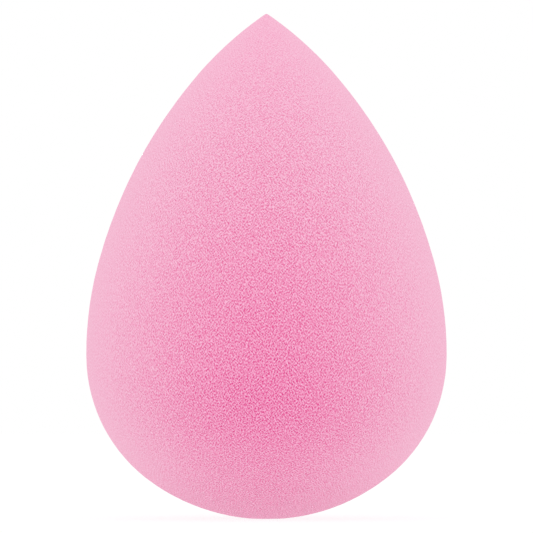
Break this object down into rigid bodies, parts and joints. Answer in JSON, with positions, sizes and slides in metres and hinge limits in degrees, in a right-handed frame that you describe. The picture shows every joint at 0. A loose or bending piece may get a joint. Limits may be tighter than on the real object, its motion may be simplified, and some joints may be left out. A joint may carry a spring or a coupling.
{
  "type": "makeup sponge",
  "caption": "Teardrop makeup sponge of soft open-celled foam with a buffed outer skin: a pointed tip for corners and a full round base for blending.",
  "frame": {"origin": "centre of the small flat patch on which the round base rests", "axes": "+Z along the axis of the teardrop, from the round base up to the tip"},
  "size_m": [0.0428, 0.0428, 0.06],
  "materials": {
    "skin_foam": "matte",
    "core_foam": "matte"
  },
  "bodies": {
    "root": {"foam_skin": "skin_foam", "foam_core": "core_foam"}
  },
  "joints": []
}
